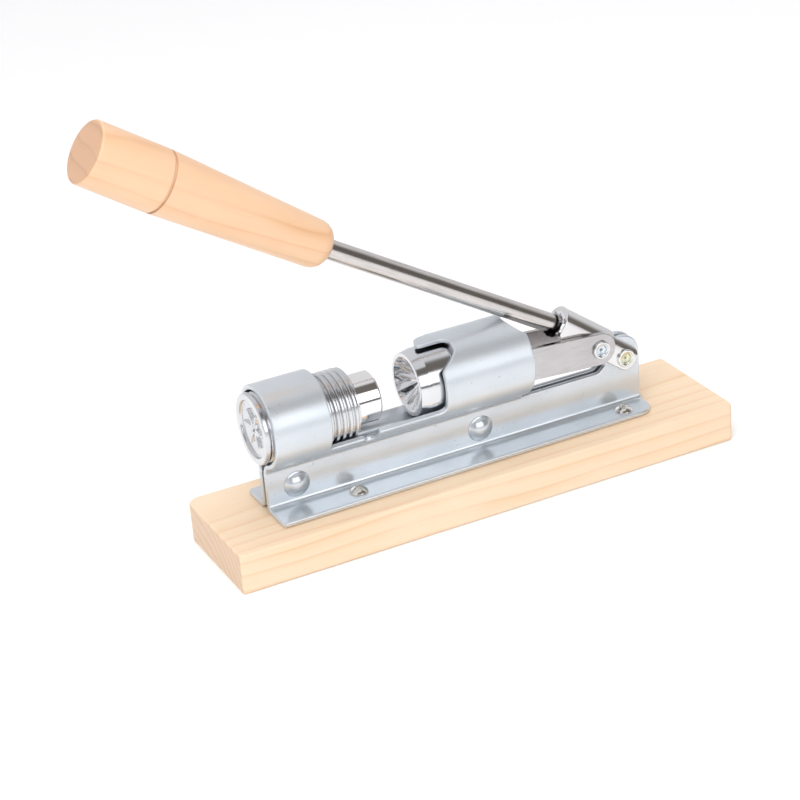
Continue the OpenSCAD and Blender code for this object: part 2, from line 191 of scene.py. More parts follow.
def inside(points, loops):
    """Which points lie within the outlines, by the even-odd rule."""
    hit = np.zeros(len(points), bool)
    for loop in loops:
        p, q = loop, np.roll(loop, -1, 0)
        for (x0, y0), (x1, y1) in zip(p, q):
            if y0 == y1:
                continue
            crosses = (y0 > points[:, 1]) != (y1 > points[:, 1])
            at = x0 + (points[:, 1] - y0) * (x1 - x0) / (y1 - y0)
            hit ^= crosses & (points[:, 0] < at)
    return hit


def plate(name, loops, half, edge, place, us=(), vs=(), clear=0.45, slide=None):
    """A sheet with rounded edges. loops are its outlines on the blank, outer one anticlockwise and holes
    clockwise; place(points) gives mid-plane positions, the two tangents and the normal; us and vs are the
    inner grid's lines; slide(points) may move the points of the back face along it."""
    arcs = 4
    rings = []
    for side in (1, -1):
        for k in range(arcs + 1)[::side]:
            a = 0.5 * math.pi * k / arcs
            rings.append((edge * (1 - math.sin(a)), side * (half - edge + edge * math.cos(a)), a, side))
    outs = [outward(loop) for loop in loops]
    verts, normals, faces = [], [], []

    def put(points, height, a, side, out=None):
        """Adds points at a height off the middle plane; a turns their normals from face to edge."""
        pos, tu, tv, n = place(slide(points) if slide and side < 0 else points)
        start = len(verts)
        verts.extend(pos + n * height)
        normal = n * (side * math.cos(a))
        if out is not None:
            normal = normal + (tu * out[:, :1] + tv * out[:, 1:]) * math.sin(a)
        normals.extend(normal / np.linalg.norm(normal, axis=1)[:, None])
        return start

    starts = []
    for inset, height, a, side in rings:
        starts.append([put(loop - out * inset, height, a, side, out) for loop, out in zip(loops, outs)])
    for row, next_row in zip(starts, starts[1:]):
        for a, b, loop in zip(row, next_row, loops):
            n = len(loop)
            for i in range(n):
                j = (i + 1) % n
                faces.append((a + i, b + i, b + j, a + j))
    caps = [loop - out * edge for loop, out in zip(loops, outs)]
    grid = np.array([(u, v) for u in us for v in vs], float).reshape(-1, 2)
    grid = grid[inside(grid, caps)]
    border = np.concatenate(caps)
    grid = grid[np.array([np.min(np.hypot(*(border - g).T)) > clear for g in grid], bool)]
    edges = []
    base = 0
    for loop in caps:
        n = len(loop)
        edges += [(base + i, base + (i + 1) % n) for i in range(n)]
        base += n
    points = [Vector(p) for p in np.concatenate(caps + [grid])]
    corners, _, cells, origins, _, _ = delaunay_2d_cdt(points, edges, [], 0, 1e-7)
    source = [o[0] if o else None for o in origins]
    cells = np.array([f for f in cells if all(source[i] is not None for i in f)])
    centres = np.array([[sum(corners[i][c] for i in f) / 3 for c in (0, 1)] for f in cells])
    cells = cells[inside(centres, caps)]
    for side, row in ((1, starts[0]), (-1, starts[-1])):
        inner = put(grid, side * half, 0, side)
        ids = []
        for start, ring in zip(row + [inner], caps + [grid]):
            ids += range(start, start + len(ring))
        for f in cells:
            faces.append([ids[source[i]] for i in f][::side])
    return new_object(name, verts, faces, normals)


def flat_place(origin, u_dir, v_dir):
    """Mapping of a flat plate: its middle plane goes through origin, along the two directions."""
    o, u, v = (np.array(x, float) for x in (origin, u_dir, v_dir))
    n = np.cross(u, v)

    def place(p):
        ones = np.ones((len(p), 1))
        return o + p[:, :1] * u + p[:, 1:] * v, ones * u, ones * v, ones * n
    return place


def round_hole(cx, cy, r, count=36):
    """Points round a hole, clockwise."""
    a = np.linspace(0, -TAU, count, endpoint=False)
    return np.stack([cx + r * np.cos(a), cy + r * np.sin(a)], 1)


def turned(name, corners, matrix, seg=96, shape=None, closed=False, long_step=None):
    """A solid turned about the local X axis from (x, radius, fillet) corners, bent by shape(x, r, angle)."""
    pts = filleted(corners, closed=closed, step=15)
    if long_step:
        pts = list(spaced(pts, long_step, long_step, closed=closed))
    verts = []
    for k in range(seg):
        a = TAU * k / seg
        for x, r in pts:
            if shape:
                x, r = shape(x, r, a)
            verts.append((x, r * math.cos(a), r * math.sin(a)))
    obj = new_object(name, verts, quads(seg, len(pts), closed))
    obj.data.transform(matrix)
    return clean(obj)


def mm_matrix(origin, rotation=None):
    """A turn followed by a move to a point in millimetres."""
    m = Matrix.Translation(Vector(origin) * MM)
    return m @ rotation if rotation else m


AXIS = mm_matrix((0, 0, AXIS_Z))
AXIS_BACK = AXIS @ Matrix.Rotation(math.pi, 4, "Z")


def on_lever(angle, point=(0, 0, 0)):
    """Frame on the lever: X runs down it towards the pivot, turned by angle degrees about the pivot."""
    return (mm_matrix((PIVOT[0], 0, PIVOT[1])) @ Matrix.Rotation(math.radians(angle), 4, "Y")
            @ Matrix.Translation(Vector(point) * MM))


# ---------------------------------------------------------------- materials
class Nodes:
    """Short forms for building a node tree."""

    def __init__(self, tree):
        self.tree = tree

    def add(self, kind, **values):
        node = self.tree.nodes.new(kind)
        for k, v in values.items():
            setattr(node, k, v)
        return node

    def link(self, a, b):
        self.tree.links.new(a, b)

    def axes(self, vector):
        """The X, Y and Z of a vector."""
        split = self.add("ShaderNodeSeparateXYZ")
        self.link(vector, split.inputs[0])
        return split.outputs

    def measure(self, operation, vector, fixed):
        """Distance or dot product of a vector and a fixed one."""
        m = self.add("ShaderNodeVectorMath", operation=operation)
        self.link(vector, m.inputs[0])
        m.inputs[1].default_value = fixed
        return m.outputs["Value"]

    def ramp(self, value, stops):
        """Levels of grey from (place, level) stops."""
        r = self.add("ShaderNodeValToRGB")
        while len(r.color_ramp.elements) < len(stops):
            r.color_ramp.elements.new(0.5)
        for e, (place, level) in zip(r.color_ramp.elements, stops):
            e.position = place
            e.color = (level, level, level, 1)
        self.link(value, r.inputs[0])
        return r.outputs[0]

    def span(self, value, lo, hi, out_lo, out_hi):
        m = self.add("ShaderNodeMapRange")
        for k, v in zip(("From Min", "From Max", "To Min", "To Max"), (lo, hi, out_lo, out_hi)):
            m.inputs[k].default_value = v
        self.link(value, m.inputs["Value"])
        return m.outputs[0]

    def mix(self, factor, a, b):
        m = self.add("ShaderNodeMix", data_type="RGBA")
        for value, socket in ((factor, m.inputs[0]), (a, m.inputs[6]), (b, m.inputs[7])):
            if hasattr(value, "is_linked"):
                self.link(value, socket)
            else:
                socket.default_value = (*value, 1)
        return m.outputs[2]

    def math(self, operation, a, b=None):
        m = self.add("ShaderNodeMath", operation=operation)
        for value, socket in ((a, m.inputs[0]), (b, m.inputs[1])):
            if hasattr(value, "is_linked"):
                self.link(value, socket)
            elif value is not None:
                socket.default_value = value
        return m.outputs[0]

    def hypot(self, a, b):
        squares = [self.math("MULTIPLY", value, value) for value in (a, b)]
        return self.math("SQRT", self.math("ADD", *squares))


class Finish(Nodes):
    """A material with one Principled shader, worked out in object coordinates."""

    def __init__(self, name):
        self.mat = bpy.data.materials.new(name)
        self.mat.use_nodes = True
        super().__init__(self.mat.node_tree)
        self.tree.nodes.clear()
        self.bsdf = self.add("ShaderNodeBsdfPrincipled")
        self.link(self.bsdf.outputs[0], self.add("ShaderNodeOutputMaterial").inputs[0])

    def set(self, **values):
        """Constant values of the shader's sockets, with _ for each space in a socket's name."""
        for k, v in values.items():
            self.bsdf.inputs[k.replace("_", " ")].default_value = v

    def to(self, socket, value):
        self.link(value, self.bsdf.inputs[socket])

    def coords(self, scale=(1, 1, 1), turn=0.0, shift=(0, 0, 0)):
        """Object coordinates turned about Y by turn degrees, moved, then scaled."""
        vector = self.add("ShaderNodeTexCoord").outputs["Object"]
        for values in ({"Rotation": (0, math.radians(turn), 0), "Location": shift}, {"Scale": scale}):
            mapping = self.add("ShaderNodeMapping")
            for k, v in values.items():
                mapping.inputs[k].default_value = v
            self.link(vector, mapping.inputs["Vector"])
            vector = mapping.outputs[0]
        return vector

    def noise(self, vector, scale, detail=3, rough=0.55):
        n = self.add("ShaderNodeTexNoise")
        for k, v in (("Scale", scale), ("Detail", detail), ("Roughness", rough)):
            n.inputs[k].default_value = v
        self.link(vector, n.inputs["Vector"])
        return n.outputs[0]

    def bump(self, height, strength, distance, normal=None):
        b = self.add("ShaderNodeBump")
        b.inputs["Strength"].default_value = strength
        b.inputs["Distance"].default_value = distance * MM
        self.link(height, b.inputs["Height"])
        if normal is not None:
            self.link(normal, b.inputs["Normal"])
        return b.outputs[0]


def srgb(*display):
    """Linear colour from 8-bit display values."""
    shares = [c / 255 for c in display]
    return tuple(c / 12.92 if c <= 0.04045 else ((c + 0.055) / 1.055) ** 2.4 for c in shares)


def metal(name, tint, low, high, scale, bump=0.03, grain=(1, 1, 1), turn=0.0, streak=0.0, shade=0.78):
    """Plated metal: cloudy tint, roughness from low to high, fine grain drawn out along one direction."""
    n = Finish(name)
    n.set(Metallic=1.0)
    cloud = n.noise(n.coords(), 60, 4)
    fine = n.noise(n.coords(grain, turn), scale, 4, 0.6)
    shaded = tuple(t * shade for t in tint)
    colour = n.mix(n.span(cloud, 0.35, 0.7, 0, 0.5), tint, shaded)
    if streak:
        colour = n.mix(n.span(fine, 0.5, 0.75, 0, streak), colour, tuple(0.5 * t for t in shaded))
    n.to("Base Color", colour)
    n.to("Roughness", n.span(fine, 0.25, 0.75, low, high))
    n.to("Normal", n.bump(fine, bump, 0.05))
    return n


def rail_paint():
    """Silver-blue sprayed finish: orange peel, fine flakes and a few dark specks under a thin clear coat,
    duller above the webs, with painted shade in the bores: their inner faces are coloured near-black."""
    n = Finish("rail_paint")
    n.set(Metallic=0.66, Coat_Weight=0.15, Coat_Roughness=0.12)
    broad = n.noise(n.coords(), 28, 3)
    peel = n.noise(n.coords(), 330, 2)
    flake = n.noise(n.coords(), 2600, 2)
    speck = n.noise(n.coords(shift=(0.31, 0.17, 0.05)), 900, 1)
    base = n.mix(n.span(broad, 0.3, 0.72, 0, 1), srgb(213, 219, 224), srgb(201, 208, 214))
    base = n.mix(n.span(flake, 0.45, 0.8, 0, 0.35), base, srgb(228, 230, 233))
    base = n.mix(n.span(speck, 0.75, 0.775, 0, 0.6), base, srgb(110, 114, 120))
    # Painted shade: the bores' inner faces are coloured near-black inside the anvil's sleeve and, from x =
    # -40 on, above the axis
    x, y, z = n.axes(n.coords(shift=(0, 0, -AXIS_Z * MM)))
    above = n.math("MULTIPLY", n.span(x, -40 * MM, -39 * MM, 0, 1), n.span(z, 2 * MM, 8 * MM, 0, 1))
    within = n.math("MAXIMUM", above, n.span(x, -73.5 * MM, -72.5 * MM, 1, 0))
    bore = n.math("MULTIPLY", n.span(n.hypot(y, z), 16.9 * MM, 17.2 * MM, 1, 0), within)
    n.to("Base Color", n.mix(bore, base, (0.05, 0.052, 0.056)))
    duller = n.span(z, -24 * MM, -12 * MM, 0, 0.13)
    n.to("Roughness", n.math("ADD", n.span(broad, 0.3, 0.7, 0.18, 0.27), duller))
    n.to("Normal", n.bump(flake, 0.03, 0.02, n.bump(peel, 0.10, 0.12)))
    return n


def wood(name, light, mid, dark, end, pitch, centre, warp, along, contrast, turn=0.0, fibre=0.5,
         rough=(0.42, 0.58)):
    """Sawn wood: growth rings about an axis along X, bent by noise whose waves per length along X are the
    share along of those across, with fine fibres and darker end grain."""
    n = Finish(name)
    slow = n.noise(n.coords((along, 1, 1), turn), 16, 2, 0.5)
    wide = n.noise(n.coords((0.35, 1, 1), turn, (0.2, 0.1, 0)), 30, 2, 0.5)
    _, y, z = n.axes(n.coords(turn=turn, shift=tuple(-c * MM for c in centre)))
    rho = n.hypot(y, z)
    rho = n.math("ADD", rho, n.span(slow, 0, 1, -warp * MM, warp * MM))
    rho = n.math("ADD", rho, n.span(wide, 0, 1, -0.25 * warp * MM, 0.25 * warp * MM))
    ring = n.math("FRACT", n.math("DIVIDE", rho, pitch * MM))
    late = n.ramp(ring, [(0.0, 0.35), (0.07, 0.0), (0.5, 0.06), (0.80, 0.38), (0.93, 1.0), (1.0, 0.35)])
    patch = n.noise(n.coords((0.3, 1, 1), turn), 55, 3)
    grain = n.noise(n.coords((0.03, 1, 1), turn), 900, 4, 0.6)
    weight = n.math("MULTIPLY", late, n.span(patch, 0.3, 0.7, 0.25 * contrast, contrast))
    colour = n.mix(n.span(patch, 0.35, 0.75, 0, 0.7), light, mid)
    colour = n.mix(weight, colour, dark)
    colour = n.mix(n.span(grain, 0.45, 0.78, 0, 0.3 * fibre), colour, dark)
    fibres = (math.cos(math.radians(turn)), 0, math.sin(math.radians(turn)))
    facing = n.measure("DOT_PRODUCT", n.add("ShaderNodeTexCoord").outputs["Normal"], fibres)
    ends = n.span(n.math("ABSOLUTE", facing), 0.5, 0.95, 0, 0.9)
    colour = n.mix(ends, colour, n.mix(weight, end, tuple(c * 0.62 for c in end)))
    n.to("Base Color", colour)
    n.to("Roughness", n.span(grain, 0.3, 0.7, *rough))
    n.to("Normal", n.bump(grain, 0.12, 0.05, n.bump(late, 0.06, 0.05)))
    return n


def burnt(n, points, plane=None):
    """Adds heat scale to a metal: dark round each (point, start, end) in millimetres, and in a band on a
    plane square to the yoke at that distance from the pivot."""
    black, ragged = (0.012, 0.011, 0.010), 1.6
    wobble = n.span(n.noise(n.coords(), 420, 4, 0.7), 0.3, 0.7, -ragged * MM, ragged * MM)
    mask = None
    for point, start, end in points:
        near = n.measure("DISTANCE", n.coords(), tuple(c * MM for c in point))
        spot = n.span(n.math("ADD", near, wobble), start * MM, end * MM, 1, 0)
        mask = spot if mask is None else n.math("MAXIMUM", mask, spot)
    if plane is not None:
        a = math.radians(YOKE_TURN)
        from_pivot = n.coords(shift=(-PIVOT[0] * MM, 0, -PIVOT[1] * MM))
        depth = n.math("ADD", n.measure("DOT_PRODUCT", from_pivot, (math.cos(a), 0, -math.sin(a))),
                       n.math("MULTIPLY", wobble, 0.25))
        soot = n.math("MULTIPLY", n.span(depth, (plane - 0.3) * MM, (plane + 0.3) * MM, 1, 0),
                      n.span(depth, (plane - 2.6) * MM, (plane - 1.2) * MM, 0, 1))
        mask = n.math("MAXIMUM", mask, soot)
    for socket, value in (("Base Color", black), ("Roughness", (0.55, 0.55, 0.55))):
        before = n.bsdf.inputs[socket].links[0].from_socket
        n.to(socket, n.mix(mask, before, value))
    return n


def hearted(n, axis, tint):
    """Adds a coloured passivation to the middle of a rivet's heads, round an axis along Y at (x, z)."""
    radius = 3.1
    x, _, z = n.axes(n.coords(shift=(-axis[0] * MM, 0, -axis[1] * MM)))
    within = n.span(n.hypot(x, z), (radius - 0.2) * MM, (radius + 0.1) * MM, 1, 0)
    before = n.bsdf.inputs["Base Color"].links[0].from_socket
    n.to("Base Color", n.mix(within, before, tint))
    return n


WELD_FOOT, WELD_TOP = (tuple(c / MM for c in on_lever(YOKE_TURN, point).translation)
                       for point in ((-40.9, -2.4, -5.2), (-41.5, -2.0, 5.0)))
MATERIALS = {
    "pine": wood("pine", srgb(238, 214, 186), srgb(234, 206, 173), srgb(222, 180, 134), srgb(220, 190, 161),
                 pitch=4.7, centre=(0, 33, -53), warp=7.0, along=0.22, contrast=0.7),
    "beech": wood("beech", srgb(233, 195, 159), srgb(228, 185, 146), srgb(216, 164, 120), srgb(202, 159, 126),
                  pitch=7.5, centre=(0, 10, 16), warp=11.0, along=0.35, contrast=0.75,
                  turn=4 - ROD_TURN - HANDLE_TILT, fibre=0.25, rough=(0.28, 0.4)),
    "rail_paint": rail_paint(),
    "chrome": metal("chrome", (0.87, 0.86, 0.85), 0.03, 0.09, 300, 0.008, shade=0.93),
    "turned_chrome": metal("turned_chrome", (0.74, 0.75, 0.77), 0.09, 0.18, 900, 0.10, (1, 0.03, 0.03),
                           shade=0.9),
    "zinc": metal("zinc", (0.70, 0.71, 0.73), 0.18, 0.30, 900, 0.10),
    "bright_nickel": metal("bright_nickel", (0.88, 0.85, 0.80), 0.08, 0.18, 500),
    "warm_nickel": metal("warm_nickel", (0.56, 0.54, 0.545), 0.18, 0.30, 900, 0.05, (0.06, 1, 1),
                         LINK_TURN, streak=0.2),
    "rod_nickel": burnt(metal("rod_nickel", (0.66, 0.63, 0.61), 0.12, 0.22, 1100, 0.06, (0.05, 1, 1),
                              -ROD_TURN, streak=0.45),
                        [(WELD_FOOT, 3.0, 4.5), (WELD_TOP, 1.2, 3.0)], plane=-41.2),
    "weld": burnt(metal("weld", (0.88, 0.89, 0.92), 0.05, 0.14, 500, 0.04),
                  [(WELD_FOOT, 3.2, 4.2)], plane=-40.5),
    "yoke_chrome": burnt(metal("yoke_chrome", (0.78, 0.77, 0.765), 0.07, 0.16, 400, 0.02),
                         [(WELD_FOOT, 1.8, 3.4)]),
    "steel": metal("steel", (0.60, 0.60, 0.61), 0.22, 0.38, 700, 0.05),
    "blue_zinc": hearted(metal("blue_zinc", (0.80, 0.81, 0.82), 0.14, 0.24, 700, 0.05),
                         LINK_PIN, (0.66, 0.72, 0.76)),
    "yellow_zinc": hearted(metal("yellow_zinc", (0.80, 0.80, 0.78), 0.14, 0.24, 700, 0.05),
                           PIVOT, (0.70, 0.70, 0.54)),
}


def piece(obj, body, slot, *nodes, material=None):
    """Gives a piece the material of its slot, or the one named, puts it in its body and hides the CAD nodes
    that it stands for.
    """
    obj.data.materials.clear()
    obj.data.materials.append(MATERIALS[material or slot].mat)
    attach(obj, body)
    if nodes:
        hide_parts(*nodes)
    return obj


# Each CAD node wears the material of its slot, also where a piece stands for it
for part in frame["record"]["subparts"]:
    node = frame["nodes"][part["node"]]
    node.data.materials.clear()
    node.data.materials.append(MATERIALS[part["material_slot"]].mat)
frame["nodes"]["lever_rod"].data.materials[0] = MATERIALS["rod_nickel"].mat


# ---------------------------------------------------------------- board
def board():
    """Plan outline with unlike corners; the ends' top edges are eased more than the long ones."""
    x, y = BOARD_L / 2, BOARD_W / 2
    loop = spaced(filleted([(-x, -y, 1), (x, -y, 2.5), (x, y, 1.5), (-x, y, 6)], step=9), 4, 4)
    out = outward(loop)
    ends = out[:, 0] ** 2
    rows = []
    for z, ease_end, ease_side, up in ((0, 0.8, 0.5, 1), (BOARD_T, 1.2, 0.8, -1)):
        ease = ease_side + (ease_end - ease_side) * ends
        for a in [math.radians(a) for a in range(0, 91, 10)][::-up]:
            inset = ease * (1 - math.cos(a))
            height = z + up * ease * (1 - math.sin(a))
            rows.append(np.column_stack([loop - out * inset[:, None], height]))
    n = len(loop)
    top = (len(rows) - 1) * n
    faces = quads(len(rows), n, around=False) + [range(top, top + n), range(n)[::-1]]
    return flat_wins(clean(new_object("board", np.concatenate(rows), faces)))


piece(board(), "frame", "pine", "pine_board")


# ---------------------------------------------------------------- rail: a blank cut flat, then bent
RAIL_R = SLEEVE_R - SHEET / 2
NECK_Y = WEB_IN + SHEET + NECK_R
NECK_Z = AXIS_Z - math.sqrt((SLEEVE_R + NECK_R) ** 2 - NECK_Y ** 2)
NECK_A = math.asin(NECK_Y / (SLEEVE_R + NECK_R))
RING_W = RAIL_R * (math.pi - NECK_A)
NECK_MID = NECK_R + SHEET / 2
NECK_W = RING_W + NECK_MID * (math.pi / 2 - NECK_A)
FLANGE_TOP = BOARD_T + SHEET
BEND_Z = FLANGE_TOP + BEND_R
BEND_Y = WEB_IN + SHEET + BEND_R
BEND_MID = BEND_R + SHEET / 2
WEB_W = NECK_W + NECK_Z - BEND_Z
BEND_W = WEB_W + BEND_MID * math.pi / 2
STRAIGHT_X = 34.0
RAIL_X0, RAIL_X1 = -99.0, 91.5
SLEEVE1 = (-98.5, -71.5)
SLEEVE2 = (-16.0, 28.5)
FLANGE_END_L = BEND_W + 39.0 / 2 - BEND_Y
FLANGE_END_R = BEND_W + 35.0 / 2 - BEND_Y
WEB_TOP = BOARD_T + 20.7
UPRIGHT_R = RAIL_X1 - PIVOT[0]


def rail_place(p):
    """Where a point of the blank goes: x stays, and v is the distance along the bent section from the
    sleeves' crown."""
    x, v = p[:, 0], p[:, 1]
    side = np.where(v < 0, -1.0, 1.0)
    w = np.abs(v)
    y, z, ny, nz, ty, tz = (np.zeros(len(p)) for _ in range(6))

    def section(mask, values):
        for target, value in zip((y, z, ny, nz, ty, tz), values):
            target[mask] = value[mask] if np.ndim(value) else value

    ring = w <= RING_W
    a = w / RAIL_R
    section(ring, (RAIL_R * np.sin(a), AXIS_Z + RAIL_R * np.cos(a),
                   np.sin(a), np.cos(a), np.cos(a), -np.sin(a)))
    g = NECK_A + np.clip((w - RING_W) / NECK_MID, 0, None)
    section((w > RING_W) & (w <= NECK_W), (NECK_Y - NECK_MID * np.sin(g), NECK_Z + NECK_MID * np.cos(g),
                                           np.sin(g), -np.cos(g), -np.cos(g), -np.sin(g)))
    web = ((w > NECK_W) & (w <= WEB_W)) | ((x > STRAIGHT_X) & (w <= NECK_W))
    zero, ones = np.zeros(len(p)), np.ones(len(p))
    section(web, (ones * (WEB_IN + SHEET / 2), NECK_Z + NECK_W - w, ones, zero, zero, -ones))
    d = np.clip((w - WEB_W) / BEND_MID, 0, math.pi / 2)
    section((w > WEB_W) & (w <= BEND_W), (BEND_Y - BEND_MID * np.cos(d), BEND_Z - BEND_MID * np.sin(d),
                                          np.cos(d), np.sin(d), np.sin(d), -np.cos(d)))
    section(w > BEND_W, (BEND_Y + w - BEND_W, ones * (BEND_Z - BEND_MID), zero, ones, ones, zero))
    pos = np.stack([x, side * y, z], 1)
    n = np.stack([zero, side * ny, nz], 1)
    tv = np.stack([zero, ty, side * tz], 1)
    tu = np.stack([ones, zero, zero], 1)
    return pos, tu, tv, n


def crown_v(y):
    """Place on the blank of a point of the sleeves at y, near the crown."""
    return RAIL_R * math.asin(y / RAIL_R)


def rim_w(z):
    """Distance on the blank from the crown to the sleeves' wall at height z."""
    return RAIL_R * math.acos((z - AXIS_Z) / RAIL_R)


def web_v(z):
    """Distance on the blank from the crown to the webs at height z."""
    return NECK_W + NECK_Z - z


def rail_end():
    """From the flange edge at the pivot end over the upright and back along the web's top, for negative v."""
    corner_r, web_top = 8, -web_v(WEB_TOP)
    corner_x = RAIL_X1 - corner_r
    points = [np.array([corner_x, -FLANGE_END_R])]
    points += arc(corner_x, -FLANGE_END_R + corner_r, corner_r, -90, 0)
    points += arc(PIVOT[0], -web_v(PIVOT[1]), UPRIGHT_R, 0, 160)
    points += filleted([(*points[-1],), (73.0, -web_v(42.2), 2), (69.5, web_top, 3),
                        (STRAIGHT_X + 0.5, web_top)], closed=False)
    points += filleted([(STRAIGHT_X + 0.5, web_top), (SLEEVE2[1], web_top, 1.2), (SLEEVE2[1], -RING_W)],
                       closed=False)
    return points


def rail_outline():
    """Outer loop of the blank, anticlockwise in x and v."""
    scoop = []
    scoop_x, scoop_r, widest = 36.3, 14, 56.1
    for t in np.radians(np.linspace(-widest, widest, 27)):
        scoop.append(np.array([scoop_x - scoop_r * math.cos(t), crown_v(scoop_r * math.sin(t))]))
    rear = filleted([(SLEEVE2[1], -RING_W), (*scoop[0], 1.6), (*scoop[3],)], closed=False)
    near = rail_end() + rear
    far = [p * [1, -1] for p in near[::-1]]
    left = [(RAIL_X0 + 4, FLANGE_END_L), (RAIL_X0, FLANGE_END_L, 2.4), (RAIL_X0, NECK_W + 1, 1),
            (SLEEVE1[0], RING_W - 2, 1)]
    left += [(x, -v, *r) for x, v, *r in left[::-1]]
    return spaced(near + scoop[3:-3] + far + filleted(left, closed=False), 3.0, 0.9)


def rail_window():
    """The opening between the sleeves, clockwise: material lies outside it."""
    near, far, low = -rim_w(AXIS_Z - SLEEVE_R / 2), rim_w(AXIS_Z - 15), -rim_w(AXIS_Z - 12.1)
    step_v = rim_w(AXIS_Z + 6)
    notch_x, notch_r = -51.4, 2.9
    notch_x0, notch_x1 = notch_x - notch_r, notch_x + notch_r
    notch_low = -rim_w(AXIS_Z - SLEEVE_R / 2 - 2 * notch_r) + notch_r
    x1, x2 = SLEEVE1[1], SLEEVE2[0]
    bite_v0, bite_v1, bite_x = crown_v(-15.4), crown_v(-3.1), -7.1
    tongue_x, tongue_y, tongue_r = -12, -4.5, 11
    tongue = []
    for t in np.radians(np.linspace(90, 140, 9)):
        y = tongue_y + tongue_r * math.sin(t)
        tongue.append(np.array([tongue_x + tongue_r * math.cos(t), crown_v(y)]))
    front = filleted([(x2 - 10, far), (x2, far, 1.5), (x2, step_v, 1.5), (tongue_x, step_v, 1.5),
                      (*tongue[0],)], closed=False)
    bite = filleted([(*tongue[-1],), (-22.9, bite_v1, 2.4), (bite_x, bite_v1, 3.5),
                     (bite_x, crown_v(-10.1), 3), (-10.6, crown_v(-13), 4), (x2, bite_v0, 2.6), (x2, near, 3),
                     (notch_x1, near, 1.3), (notch_x1, notch_low)], closed=False)
    bottom = arc(notch_x, notch_low, notch_r, 0, -180, 15)
    rest = filleted([(notch_x0, notch_low), (notch_x0, low, 1.3), (x1, low, 1.5), (x1, far, 1.5),
                     (x2 - 10, far)], closed=False)
    loop = front + tongue[1:-1] + bite + bottom[1:-1] + rest
    return spaced(loop, 3.0, 0.9)


def rail():
    """The bent rail with its holes, on a grid whose lines run along the bends."""
    loops = [rail_outline(), rail_window()]
    loops += [round_hole(PIVOT[0], s * web_v(PIVOT[1]), PIN_HOLE_R) for s in (-1, 1)]
    for s in (-1, 1):
        loops += [round_hole(x, s * web_v(RIVET_Z), RIVET_HOLE_R, 30) for x in RIVET_X]
        loops += [round_hole(x, s * (BEND_W + SCREW_Y - BEND_Y), SCREW_HOLE_R, 30) for x in SCREW_X]
    w = list(np.arange(0.7, RING_W, 1.45)) + list(np.linspace(RING_W, NECK_W, 9))
    w += list(np.linspace(NECK_W, WEB_W, 5))[1:] + list(np.linspace(WEB_W, BEND_W, 10))[1:]
    w += list(np.linspace(BEND_W, FLANGE_END_L, 5))[1:-1]
    vs = [-x for x in w[::-1]] + w
    us = np.arange(RAIL_X0 + 2, RAIL_X1, 3.0)
    return plate("rail", loops, SHEET / 2, 0.85, rail_place, us, vs, clear=0.6)


piece(rail(), "frame", "rail_paint", "frame_rail")


# ---------------------------------------------------------------- plunger and nose
def scallops(rim, tip, depth, count, deep):
    """Bends a turned cup, whose face is at x = 0, into petals: shallow channels with crests between them."""
    def shape(x, r, a):
        if x > depth + 0.01 or r >= rim or r < tip or abs(x - depth * (rim - r) / (rim - tip)) > 0.35:
            return x, r
        t = (a * count / TAU) % 1.0 * 2 - 1
        across = 1 - abs(t) ** 1.6
        along = min(1.0, (rim - r) / (0.12 * rim)) * min(1.0, (r - tip) / (0.35 * rim))
        return x + deep * across * along, r
    return shape


def plunger():
    """Cupped head, with a flat-sided tongue between the links behind it."""
    face_x, body_x = -26.4, 21.0
    rim, tip, depth = 12.7, 1.7, 6.6
    face_r, body_r, step = 14.5, 15.5, 5.0
    front = AXIS @ Matrix.Translation((face_x * MM, 0, 0))
    corners = [(depth, 0), (depth, tip, 0.3), (0, rim, 0.2), (0, face_r, 0.4), (step, body_r, 1.5),
               (body_x, body_r, 0.5), (body_x, 0)]
    petals = scallops(rim, tip, depth, 10, 1.5)
    head = turned("plunger_head", corners, front, 120, petals, long_step=0.7)
    cheek = 7.35
    tongue_x0, tongue_x1 = -5.4, 13.0
    half = (tongue_x1 - tongue_x0) / 2
    side = math.degrees(math.acos(cheek / body_r))
    loop = arc(0, 0, body_r, side, 180 - side, 4) + arc(0, 0, body_r, 180 + side, 360 - side, 4)
    place = flat_place((tongue_x1 - half, 0, AXIS_Z), (0, 1, 0), (0, 0, 1))
    tongue = plate("tongue", [spaced(loop, 2, 2)], half, 0.5, place)
    return flat_wins(join("plunger_body", [head, tongue]))


def nose():
    """Smaller cupped head that faces the plunger, on a plain stem."""
    face_x, head_x, stem_x = 43.7, 12.3, 28.3
    rim, tip, depth = 9.3, 1.5, 5.6
    face_r, head_r, stem_r = 10.6, 11.5, 6.0
    front = AXIS_BACK @ Matrix.Translation((face_x * MM, 0, 0))
    corners = [(depth, 0), (depth, tip, 0.3), (0, rim, 0.2), (0, face_r, 0.3), (0.9, head_r, 0.35),
               (head_x, head_r, 0.2), (head_x, stem_r), (stem_x, stem_r, 0.5), (stem_x, 0)]
    petals = scallops(rim, tip, depth, 8, 1.2)
    return flat_wins(turned("anvil_nose_body", corners, front, 96, petals, long_step=0.7))


piece(plunger(), "plunger", "chrome", "plunger", material="turned_chrome")
piece(nose(), "anvil_slide", "chrome", "anvil_nose")


